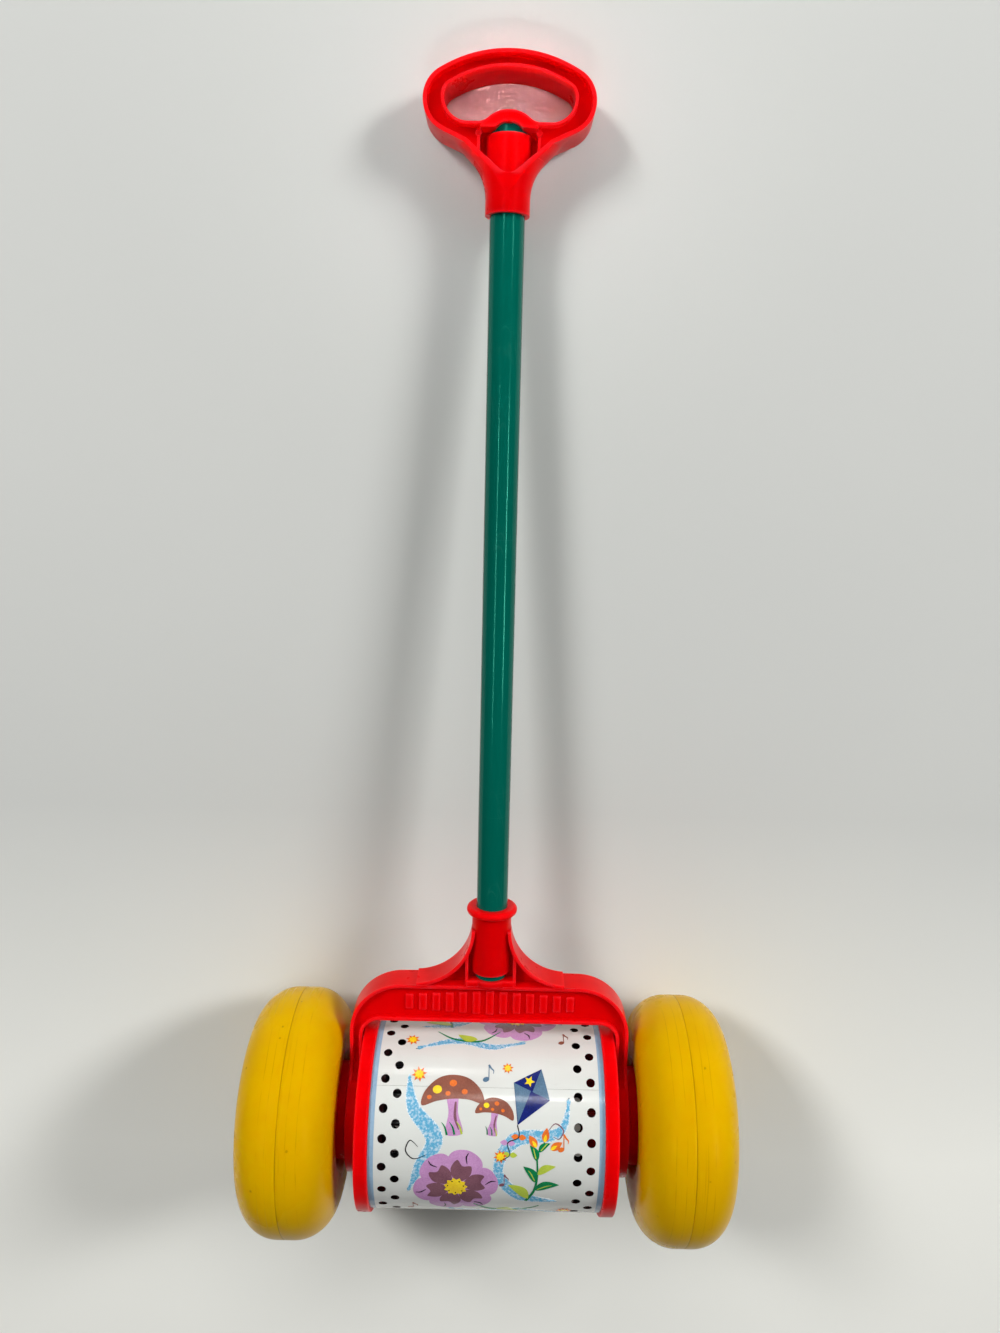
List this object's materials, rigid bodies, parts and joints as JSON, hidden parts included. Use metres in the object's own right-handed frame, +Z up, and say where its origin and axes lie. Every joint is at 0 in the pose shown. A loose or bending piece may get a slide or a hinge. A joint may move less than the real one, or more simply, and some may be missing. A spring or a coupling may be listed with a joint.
{
  "type": "push chime toy",
  "caption": "Child's push toy: a printed drum with a hidden chime rolls between rounded wheels in a moulded fork, pushed by a tube with a loop grip.",
  "frame": {"origin": "middle of the floor patch under the toy as it lies on its wheels and the tip of its grip", "axes": "+X along the axle to the toy's right seen from the front of the panel, +Y from the roller along the shaft towards the grip, +Z up"},
  "size_m": [0.2516, 0.5808, 0.125],
  "materials": {
    "red_plastic": "bright red moulded plastic, glossy with faint handling marks",
    "yellow_plastic": "warm yellow blow-moulded plastic, satin with scuffs round the tread",
    "tube_paint": "teal green satin paint",
    "drum_print": "white glossy printed sheet",
    "steel": "bright steel",
    "zinc": "grey die-cast zinc"
  },
  "bodies": {
    "frame": {"handle": "red_plastic", "push_tube": "tube_paint", "yoke": "red_plastic"},
    "roller": {"drum_shell": "drum_print", "left_end_cap": "red_plastic", "right_end_cap": "red_plastic", "left_wheel": "yellow_plastic", "right_wheel": "yellow_plastic", "left_hub": "red_plastic", "right_hub": "red_plastic", "axle": "steel", "left_axle_cap": "steel", "right_axle_cap": "steel", "chime_block": "zinc", "chime_rod_1": "steel", "chime_rod_2": "steel", "chime_rod_3": "steel", "chime_rod_4": "steel", "chime_rod_5": "steel", "chime_rod_6": "steel", "clapper_pins": "steel", "clapper_clips": "steel", "chime_screws": "steel"},
    "clapper_1_body": {"clapper_1": "zinc"},
    "clapper_2_body": {"clapper_2": "zinc"},
    "clapper_3_body": {"clapper_3": "zinc"}
  },
  "joints": [
    {"name": "roller_spin", "type": "hinge", "parent": "frame", "child": "roller", "pos_m": [0, -0.22795, 0.0625], "axis": [1, 0, 0], "continuous": true},
    {"name": "clapper_1_swing", "type": "hinge", "parent": "roller", "child": "clapper_1_body", "pos_m": [0, -0.22795, 0.0485], "axis": [1, 0, 0], "range_deg": [-33.5, 33.5]},
    {"name": "clapper_2_swing", "type": "hinge", "parent": "roller", "child": "clapper_2_body", "pos_m": [0, -0.21582, 0.0695], "axis": [1, 0, 0], "range_deg": [0, 67]},
    {"name": "clapper_3_swing", "type": "hinge", "parent": "roller", "child": "clapper_3_body", "pos_m": [0, -0.24007, 0.0695], "axis": [1, 0, 0], "range_deg": [-67, 0]}
  ]
}
